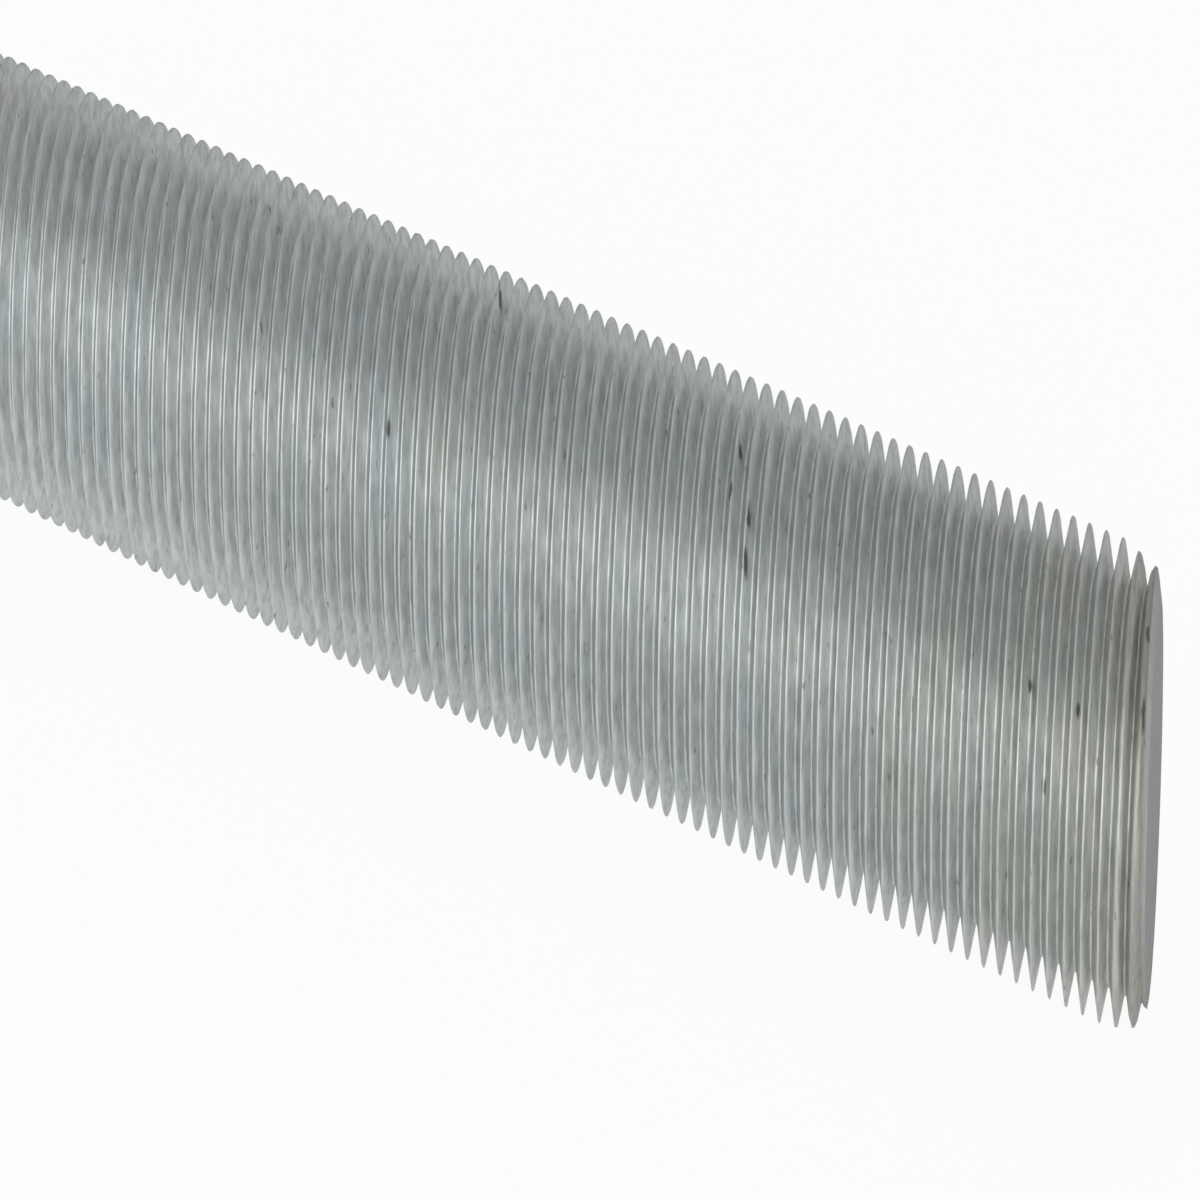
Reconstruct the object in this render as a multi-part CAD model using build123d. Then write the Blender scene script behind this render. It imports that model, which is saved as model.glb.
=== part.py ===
from build123d import *
import os

# A length of left-hand threaded rod in zinc-plated steel: one piece, threaded from end to end,
# with both ends chamfered. The solid is the rod at its crest diameter.
# X runs along the rod, Z is up, and the origin is the middle of the axis. Lengths are in millimetres.

# Driving dimensions
crest_diameter = 16.0
rod_length = 165.0
# each end tapers slowly over the last threads, and then its edge is broken more steeply
taper_length = 4.5
taper_drop = 0.5
edge_length = 0.5
edge_drop = 0.85

crest_radius = crest_diameter / 2
taper_radius = crest_radius - taper_drop
face_radius = taper_radius - edge_drop
half_length = rod_length / 2

# upper half of the section, from the middle of the rod out to its right end
right_half = [
    (half_length - taper_length, crest_radius),
    (half_length - edge_length, taper_radius),
    (half_length, face_radius),
    (half_length, 0),
]
left_half = [(-along, radius) for along, radius in reversed(right_half)]

section = Plane.XZ * make_face(Polyline(left_half + right_half, close=True))
rod = revolve(section, axis=Axis.X)

os.makedirs("parts", exist_ok=True)
export_step(rod, "parts/threaded_rod.step")
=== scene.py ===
import math

import bmesh
import bpy
import numpy as np
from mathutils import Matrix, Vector


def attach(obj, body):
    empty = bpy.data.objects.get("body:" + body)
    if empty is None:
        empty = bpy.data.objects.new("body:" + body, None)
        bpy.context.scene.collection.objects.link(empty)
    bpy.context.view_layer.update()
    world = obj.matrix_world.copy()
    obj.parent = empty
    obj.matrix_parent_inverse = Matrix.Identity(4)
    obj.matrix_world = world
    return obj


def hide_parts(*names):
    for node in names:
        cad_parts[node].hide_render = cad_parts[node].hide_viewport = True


# The looks of the left-hand threaded rod. X runs along the rod, Z is up, and lengths are in metres.

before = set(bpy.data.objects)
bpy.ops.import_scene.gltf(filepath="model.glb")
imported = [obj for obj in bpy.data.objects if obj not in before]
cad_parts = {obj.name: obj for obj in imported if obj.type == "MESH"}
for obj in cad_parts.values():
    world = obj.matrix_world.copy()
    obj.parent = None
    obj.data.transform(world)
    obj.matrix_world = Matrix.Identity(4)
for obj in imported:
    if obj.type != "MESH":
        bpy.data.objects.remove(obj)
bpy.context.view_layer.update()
scene = bpy.context.scene
scene.view_settings.view_transform = "Standard"

# Camera: a long lens, to the right of the rod's middle and a little above it
camera_azimuth = 17.8738
camera_elevation = 22.6647
camera_place = (0.122768, -0.339761, 0.147160)
sensor_width = 0.036
lens_length = 0.0924
millimetres_per_metre = 1000
nearest_seen = 0.0002
farthest_seen = 50

azimuth = math.radians(camera_azimuth)
elevation = math.radians(camera_elevation)
look = Vector((
    -math.sin(azimuth) * math.cos(elevation),
    math.cos(azimuth) * math.cos(elevation),
    -math.sin(elevation),
))
camera_data = bpy.data.cameras.new("camera")
camera_data.sensor_width = sensor_width * millimetres_per_metre
camera_data.lens = lens_length * millimetres_per_metre
camera_data.clip_start = nearest_seen
camera_data.clip_end = farthest_seen
camera = bpy.data.objects.new("camera", camera_data)
camera.location = camera_place
camera.rotation_mode = "QUATERNION"
camera.rotation_quaternion = look.to_track_quat("-Z", "Y")
scene.collection.objects.link(camera)
scene.camera = camera


def new_material(name):
    material = bpy.data.materials.new(name)
    material.use_nodes = True
    material.node_tree.nodes.clear()
    return material, material.node_tree


def add_mesh(name, points, faces):
    mesh = bpy.data.meshes.new(name)
    mesh.from_pydata(points, [], faces)
    mesh.update()
    made = bpy.data.objects.new(name, mesh)
    scene.collection.objects.link(made)
    return made


# Stretch pane: the photograph is stretched upwards, so its rod looks over three times too thick.
# This small pane in front of the camera bends what the camera sees in the same way, like an anamorphic lens.
# The rod keeps its true shape, and views from elsewhere don't pass through the pane.
picture_stretch = 3.6965
pane_distance = 0.002
pane_margin_share = 1.1
past_pane_share = 1.05
pane_half = pane_distance * sensor_width / 2 / lens_length * pane_margin_share
pane = add_mesh(
    "stretch_pane",
    [
        (-pane_half, -pane_half, -pane_distance),
        (pane_half, -pane_half, -pane_distance),
        (pane_half, pane_half, -pane_distance),
        (-pane_half, pane_half, -pane_distance),
    ],
    [(0, 1, 2, 3)],
)
pane.location = camera.location
pane.rotation_mode = "QUATERNION"
pane.rotation_quaternion = camera.rotation_quaternion
pane.visible_diffuse = False
pane.visible_glossy = False
pane.visible_transmission = False
pane.visible_volume_scatter = False
pane.visible_shadow = False

pane_material, pane_tree = new_material("stretch_pane")
place_node = pane_tree.nodes.new("ShaderNodeTexCoord")
squeeze_node = pane_tree.nodes.new("ShaderNodeVectorMath")
squeeze_node.operation = "MULTIPLY"
squeeze_node.inputs[1].default_value = (1, 1 / picture_stretch, 1)
past_node = pane_tree.nodes.new("ShaderNodeVectorMath")
past_node.operation = "SCALE"
past_node.inputs["Scale"].default_value = past_pane_share
direction_node = pane_tree.nodes.new("ShaderNodeVectorTransform")
direction_node.vector_type = "VECTOR"
direction_node.convert_from = "OBJECT"
direction_node.convert_to = "WORLD"
# the new direction has a length of one, or else surfaces would be shaded as if seen edge on
unit_node = pane_tree.nodes.new("ShaderNodeVectorMath")
unit_node.operation = "NORMALIZE"
start_node = pane_tree.nodes.new("ShaderNodeVectorTransform")
start_node.vector_type = "POINT"
start_node.convert_from = "OBJECT"
start_node.convert_to = "WORLD"
portal_node = pane_tree.nodes.new("ShaderNodeBsdfRayPortal")
pane_output = pane_tree.nodes.new("ShaderNodeOutputMaterial")
pane_tree.links.new(place_node.outputs["Object"], squeeze_node.inputs[0])
pane_tree.links.new(squeeze_node.outputs["Vector"], direction_node.inputs["Vector"])
pane_tree.links.new(squeeze_node.outputs["Vector"], past_node.inputs[0])
pane_tree.links.new(past_node.outputs["Vector"], start_node.inputs["Vector"])
pane_tree.links.new(direction_node.outputs["Vector"], unit_node.inputs[0])
pane_tree.links.new(unit_node.outputs["Vector"], portal_node.inputs["Direction"])
pane_tree.links.new(start_node.outputs["Vector"], portal_node.inputs["Position"])
pane_tree.links.new(portal_node.outputs["BSDF"], pane_output.inputs["Surface"])
pane.data.materials.append(pane_material)

# Thread: one left-hand helix, with rounded crests and roots
# a hair under the solid, whose flats lie a little inside its round
crest_radius = 0.00798
half_length = 0.0825
pitch = 0.002
# distance along the rod and depth below the crest, over one pitch from crest to crest
profile = [
    (0.0, 0.0),
    (0.00008, 0.00001),
    (0.00013, 0.00007),
    (0.00050, 0.00067),
    (0.00082, 0.00119),
    (0.00090, 0.00126),
    (0.00100, 0.00128),
    (0.00110, 0.00126),
    (0.00118, 0.00119),
    (0.00150, 0.00067),
    (0.00187, 0.00007),
    (0.00192, 0.00001),
]
segments = 90
spare_turns = 1.5
# a crest crosses the middle of the rod at this angle about X, in degrees from Y
crest_angle = 49.8

# Ends: a slow taper over the last threads, then a steeper edge
taper_length = 0.0045
taper_drop = 0.0005
edge_length = 0.0005
edge_drop = 0.00085

taper_radius = crest_radius - taper_drop
face_radius = taper_radius - edge_drop

full_turn = 2 * math.pi
joining_turns = 2
turns = 2 * half_length / pitch + 2 * spare_turns + joining_turns
row_count = int(turns * segments)
along = np.array([step for step, depth in profile])
depths = np.array([depth for step, depth in profile])
rows = np.arange(row_count)
angles = full_turn * rows / segments
# a crest's place at angle zero, taken past the right end by whole turns
crest_shift = pitch * math.radians(crest_angle) / full_turn
start = crest_shift + pitch * math.ceil((half_length - crest_shift) / pitch + spare_turns)
x = start - pitch * rows[:, None] / segments + along[None, :]
radius = np.broadcast_to(crest_radius - depths[None, :], x.shape).copy()
envelope = np.interp(
    np.abs(x),
    [0, half_length - taper_length, half_length - edge_length, half_length, half_length + edge_length],
    [crest_radius, crest_radius, taper_radius, face_radius, face_radius - edge_drop],
)
radius = np.minimum(radius, envelope)
# wear: the surface is slightly uneven, only ever inwards, in short runs round the thread
wear_depth = 0.000025
wear_shift = 0.00002
wear_seed = 7
chance = np.random.default_rng(wear_seed)
uneven = chance.normal(size=(2, *x.shape))
uneven = (np.roll(uneven, 1, axis=1) + 2 * uneven + np.roll(uneven, -1, axis=1)) / 4
radius = radius - wear_depth * np.abs(uneven[0])
x = x + wear_shift * uneven[1]
points = np.stack(
    [x, radius * np.cos(angles)[:, None], radius * np.sin(angles)[:, None]],
    axis=-1,
).reshape(-1, 3)

count = len(profile)
index = rows[:, None] * count + np.arange(count)[None, :]
inner = np.stack(
    [index[:-1, :-1], index[:-1, 1:], index[1:, 1:], index[1:, :-1]],
    axis=-1,
).reshape(-1, 4)
# the last profile point of a turn meets the first one of the turn before
lead = rows[segments:-1]
seam = np.stack(
    [
        index[lead, -1],
        index[lead - segments, 0],
        index[lead - segments + 1, 0],
        index[lead + 1, -1],
    ],
    axis=-1,
)
faces = np.concatenate([inner, seam])

rod = add_mesh("rod", points.tolist(), faces.tolist())
work = bmesh.new()
work.from_mesh(rod.data)
rim_reach = pitch / segments
most_side_corners = 5
for side in (-1, 1):
    bmesh.ops.bisect_plane(
        work,
        geom=work.verts[:] + work.edges[:] + work.faces[:],
        plane_co=(side * half_length, 0, 0),
        plane_no=(side, 0, 0),
        clear_outer=True,
    )
    rim = [
        edge
        for edge in work.edges
        if edge.is_boundary and all(abs(v.co.x - side * half_length) < rim_reach for v in edge.verts)
    ]
    bmesh.ops.contextual_create(work, geom=rim)
bmesh.ops.recalc_face_normals(work, faces=work.faces[:])
for face in work.faces:
    face.smooth = len(face.verts) <= most_side_corners
work.to_mesh(rod.data)
work.free()
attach(rod, "root")
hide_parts("threaded_rod")

# Zinc-plated steel: dull grey-green metal with fine streaks round the rod, faint tints and dark nicks
steel_material, steel_tree = new_material("zinc_plated_steel")
steel = steel_tree.nodes.new("ShaderNodeBsdfPrincipled")
steel_output = steel_tree.nodes.new("ShaderNodeOutputMaterial")
rod_place = steel_tree.nodes.new("ShaderNodeTexCoord")
steel_tree.links.new(steel.outputs["BSDF"], steel_output.inputs["Surface"])


def add_vector(operation, first, second=None):
    """A vector sum, product or length, of a linked vector and a fixed or linked one."""
    node = steel_tree.nodes.new("ShaderNodeVectorMath")
    node.operation = operation
    steel_tree.links.new(first, node.inputs[0])
    if isinstance(second, tuple):
        node.inputs[1].default_value = second
    elif second:
        steel_tree.links.new(second, node.inputs[1])
    return node.outputs["Value" if operation == "LENGTH" else "Vector"]


def add_noise(place, waves, detail):
    """Noise over the rod, with this many waves to a metre along X, Y and Z."""
    noise = steel_tree.nodes.new("ShaderNodeTexNoise")
    noise.inputs["Scale"].default_value = 1
    noise.inputs["Detail"].default_value = detail
    steel_tree.links.new(add_vector("MULTIPLY", place, waves), noise.inputs["Vector"])
    return noise.outputs["Fac"]


def add_ramp(value, stops):
    """Colours that follow a value from 0 to 1."""
    ramp = steel_tree.nodes.new("ShaderNodeValToRGB")
    elements = ramp.color_ramp.elements
    while len(elements) < len(stops):
        elements.new(1)
    for element, (position, colour) in zip(elements, stops):
        element.position = position
        element.color = (*colour, 1)
    steel_tree.links.new(value, ramp.inputs["Fac"])
    return ramp.outputs["Color"]


def add_range(value, low, high, new_low, new_high):
    """A value moved from one range to another, and kept inside it."""
    moved = steel_tree.nodes.new("ShaderNodeMapRange")
    moved.inputs["From Min"].default_value = low
    moved.inputs["From Max"].default_value = high
    moved.inputs["To Min"].default_value = new_low
    moved.inputs["To Max"].default_value = new_high
    steel_tree.links.new(value, moved.inputs["Value"])
    return moved.outputs["Result"]


def add_math(operation, first, second):
    node = steel_tree.nodes.new("ShaderNodeMath")
    node.operation = operation
    for socket, value in zip(node.inputs, (first, second)):
        if isinstance(value, (int, float)):
            socket.default_value = value
        else:
            steel_tree.links.new(value, socket)
    return node.outputs["Value"]


def add_mix(blend, share, first, second):
    """Two colours mixed, the second of them fixed or linked."""
    node = steel_tree.nodes.new("ShaderNodeMix")
    node.data_type = "RGBA"
    node.blend_type = blend
    factor, colour_a, colour_b = node.inputs[0], node.inputs[6], node.inputs[7]
    if isinstance(share, (int, float)):
        factor.default_value = share
    else:
        steel_tree.links.new(share, factor)
    steel_tree.links.new(first, colour_a)
    if isinstance(second, tuple):
        colour_b.default_value = (*second, 1)
    else:
        steel_tree.links.new(second, colour_b)
    return node.outputs[2]


solid_place = rod_place.outputs["Object"]
# the place that lies straight out from here at the crests, so that marks don't change with depth
outwards = add_vector("NORMALIZE", add_vector("MULTIPLY", solid_place, (0, 1, 1)))
on_crests = add_vector("MULTIPLY", outwards, (crest_radius,) * 3)
rolled_place = add_vector("ADD", on_crests, add_vector("MULTIPLY", solid_place, (1, 0, 0)))
split = steel_tree.nodes.new("ShaderNodeSeparateXYZ")
steel_tree.links.new(solid_place, split.inputs["Vector"])
along_rod = split.outputs["X"]

# waves to a metre along X, Y and Z, and the steps of finer detail in them
streak_waves = (1300, 800, 800)
streak_detail = 4
blotch_waves = (230, 230, 230)
grain_waves = (4000, 900, 900)
speck_waves = (1500, 1500, 1500)
fine_detail = 3
streaks = add_noise(rolled_place, streak_waves, streak_detail)
blotches = add_noise(solid_place, blotch_waves, fine_detail)
grain = add_noise(rolled_place, grain_waves, fine_detail)
specks = add_noise(solid_place, speck_waves, fine_detail)

bluish = (0.60, 0.64, 0.642)
plain_zinc = (0.612, 0.645, 0.637)
olive = (0.625, 0.645, 0.625)
end_olive = (0.58, 0.57, 0.51)
end_olive_from = 0.04
end_olive_share = 0.45
full_tone = (1.0, 1.0, 1.0)
blotch_stops = [(0.36, bluish), (0.5, plain_zinc), (0.64, olive)]
streak_stops = [(0.36, (0.93, 0.93, 0.93)), (0.58, full_tone)]
grain_stops = [(0.36, (0.83, 0.83, 0.83)), (0.56, full_tone)]
speck_stops = [(0.25, (0.5, 0.5, 0.48)), (0.33, full_tone)]
zinc = add_ramp(blotches, blotch_stops)
# towards the right end the plating is more olive
end_share = add_range(along_rod, end_olive_from, half_length, 0, end_olive_share)
zinc = add_mix("MIX", end_share, zinc, end_olive)
for marks, stops in ((streaks, streak_stops), (grain, grain_stops), (specks, speck_stops)):
    zinc = add_mix("MULTIPLY", 1, zinc, add_ramp(marks, stops))

# nicks and scratches on the crests:
# place along the rod, angle about X from Y in degrees, and length round the rod
nick_width = 0.00022
nicks = [
    (0.0321, 112, 0.0007),
    (0.0314, 128, 0.0007),
    (0.0338, 132, 0.0012),
    (0.0338, 144, 0.0010),
    (-0.0108, 121, 0.0006),
    (-0.0125, 151, 0.0011),
    (0.0705, 166, 0.0008),
    (0.0683, 141, 0.0006),
    (0.0817, 113, 0.0012),
    (0.0817, 137, 0.0012),
    (0.0741, 143, 0.0006),
    (0.0001, 91, 0.0009),
]
nearest = None
for nick_along, nick_angle, nick_length in nicks:
    turn = math.radians(nick_angle)
    centre = (nick_along, crest_radius * math.cos(turn), crest_radius * math.sin(turn))
    spread = (1 / nick_width, 2 / nick_length, 2 / nick_length)
    offset = add_vector("SUBTRACT", rolled_place, centre)
    distance = add_vector("LENGTH", add_vector("MULTIPLY", offset, spread))
    nearest = add_math("MINIMUM", nearest, distance) if nearest else distance
nick_raggedness = 1.4
nick_core = 0.5
nick_edge = 1.2
nick_dark_share = 0.85
nick_colour = (0.09, 0.09, 0.09)
ragged = add_math("ADD", nearest, add_range(specks, 0, 1, -nick_raggedness, nick_raggedness))
nick_share = add_range(ragged, nick_core, nick_edge, nick_dark_share, 0)
# the last turn at each end is dull and dirty
dirt_share = 0.75
dirt_colour = (0.5, 0.49, 0.46)
taper_start = half_length - taper_length
edge_start = half_length - edge_length
from_middle = add_math("ABSOLUTE", along_rod, 0)
last_share = add_range(from_middle, taper_start, edge_start, 0, dirt_share)
zinc = add_mix("MULTIPLY", last_share, zinc, dirt_colour)
zinc = add_mix("MIX", nick_share, zinc, nick_colour)

# the end faces and their edges are cut bare, and are dull
bare_stops = [(0.3, (0.395, 0.4, 0.395)), (0.6, (0.45, 0.455, 0.45))]
bare_share = add_math("GREATER_THAN", from_middle, edge_start)
bare = add_ramp(specks, bare_stops)
zinc = add_mix("MIX", bare_share, zinc, bare)
steel_tree.links.new(zinc, steel.inputs["Base Color"])
plated_share = add_math("SUBTRACT", 1, bare_share)
steel_tree.links.new(plated_share, steel.inputs["Metallic"])
streak_low = 0.25
streak_high = 0.75
dull_roughness = 0.52
bright_roughness = 0.44
bare_roughness = 0.9
rough = add_range(streaks, streak_low, streak_high, dull_roughness, bright_roughness)
rough = add_math("MAXIMUM", rough, add_math("MULTIPLY", bare_share, bare_roughness))
steel_tree.links.new(rough, steel.inputs["Roughness"])
steel.inputs["Specular IOR Level"].default_value = 0
# dull plating is no brighter edge on
edge_tint = (0.6, 0.62, 0.62, 1)
steel.inputs["Specular Tint"].default_value = edge_tint

bump = steel_tree.nodes.new("ShaderNodeBump")
bump_depth = 0.00012
bump_share = 0.4
bump.inputs["Distance"].default_value = bump_depth
steel_tree.links.new(add_math("MULTIPLY", plated_share, bump_share), bump.inputs["Strength"])
steel_tree.links.new(grain, bump.inputs["Height"])
steel_tree.links.new(bump.outputs["Normal"], steel.inputs["Normal"])
rod.data.materials.append(steel_material)

# Floor
floor_half = 4
floor = add_mesh(
    "floor",
    [
        (-floor_half, -floor_half, -crest_radius),
        (floor_half, -floor_half, -crest_radius),
        (floor_half, floor_half, -crest_radius),
        (-floor_half, floor_half, -crest_radius),
    ],
    [(0, 1, 2, 3)],
)
# a low round wall carries the floor's white up behind the rod in low views
wall_height = 0.95
wall_panels = 64
wall_turns = [full_turn * panel / wall_panels for panel in range(wall_panels)]
wall_round = [(floor_half * math.cos(turn), floor_half * math.sin(turn)) for turn in wall_turns]
wall_points = [(*place, height) for height in (-crest_radius, wall_height) for place in wall_round]
wall_faces = [
    (panel, (panel + 1) % wall_panels, wall_panels + (panel + 1) % wall_panels, wall_panels + panel)
    for panel in range(wall_panels)
]
wall = add_mesh("wall", wall_points, wall_faces)
floor_material, floor_tree = new_material("floor")
floor_white_share = 0.94
floor_colour = (0.85, 0.85, 0.85, 1)
path_node = floor_tree.nodes.new("ShaderNodeLightPath")
floor_matt = floor_tree.nodes.new("ShaderNodeBsdfDiffuse")
floor_matt.inputs["Color"].default_value = floor_colour
floor_white = floor_tree.nodes.new("ShaderNodeEmission")
floor_white.inputs["Strength"].default_value = 1
seen_node = floor_tree.nodes.new("ShaderNodeMath")
seen_node.operation = "MAXIMUM"
through_node = floor_tree.nodes.new("ShaderNodeMath")
through_node.operation = "MAXIMUM"
share_node = floor_tree.nodes.new("ShaderNodeMath")
share_node.operation = "MULTIPLY"
share_node.inputs[1].default_value = floor_white_share
floor_mix = floor_tree.nodes.new("ShaderNodeMixShader")
floor_output = floor_tree.nodes.new("ShaderNodeOutputMaterial")
floor_tree.links.new(path_node.outputs["Is Camera Ray"], seen_node.inputs[0])
floor_tree.links.new(path_node.outputs["Is Glossy Ray"], seen_node.inputs[1])
floor_tree.links.new(seen_node.outputs["Value"], through_node.inputs[0])
floor_tree.links.new(path_node.outputs["Is Transmission Ray"], through_node.inputs[1])
floor_tree.links.new(through_node.outputs["Value"], share_node.inputs[0])
floor_tree.links.new(share_node.outputs["Value"], floor_mix.inputs["Fac"])
floor_tree.links.new(floor_matt.outputs["BSDF"], floor_mix.inputs[1])
floor_tree.links.new(floor_white.outputs["Emission"], floor_mix.inputs[2])
floor_tree.links.new(floor_mix.outputs["Shader"], floor_output.inputs["Surface"])
floor.data.materials.append(floor_material)
wall.data.materials.append(floor_material)

# World and lamps
world = bpy.data.worlds.new("studio")
world.use_nodes = True
world_tree = world.node_tree
world_tree.nodes.clear()
world_light = world_tree.nodes.new("ShaderNodeBackground")
world_grey = (0.6, 0.6, 0.6, 1)
world_light.inputs["Color"].default_value = world_grey
world_output = world_tree.nodes.new("ShaderNodeOutputWorld")
world_tree.links.new(world_light.outputs["Background"], world_output.inputs["Surface"])
scene.world = world


def add_softbox(name, place, target, width, power):
    lamp_data = bpy.data.lights.new(name, "AREA")
    lamp_data.shape = "SQUARE"
    lamp_data.size = width
    lamp_data.energy = power
    lamp = bpy.data.objects.new(name, lamp_data)
    lamp.location = place
    lamp.rotation_mode = "QUATERNION"
    lamp.rotation_quaternion = (Vector(target) - Vector(place)).to_track_quat("-Z", "Y")
    scene.collection.objects.link(lamp)
    return lamp


key_place = (-0.3, -1.3, 0.2)
key_width = 2.1
key_power = 19
add_softbox("key", key_place, (0, 0, 0), key_width, key_power)
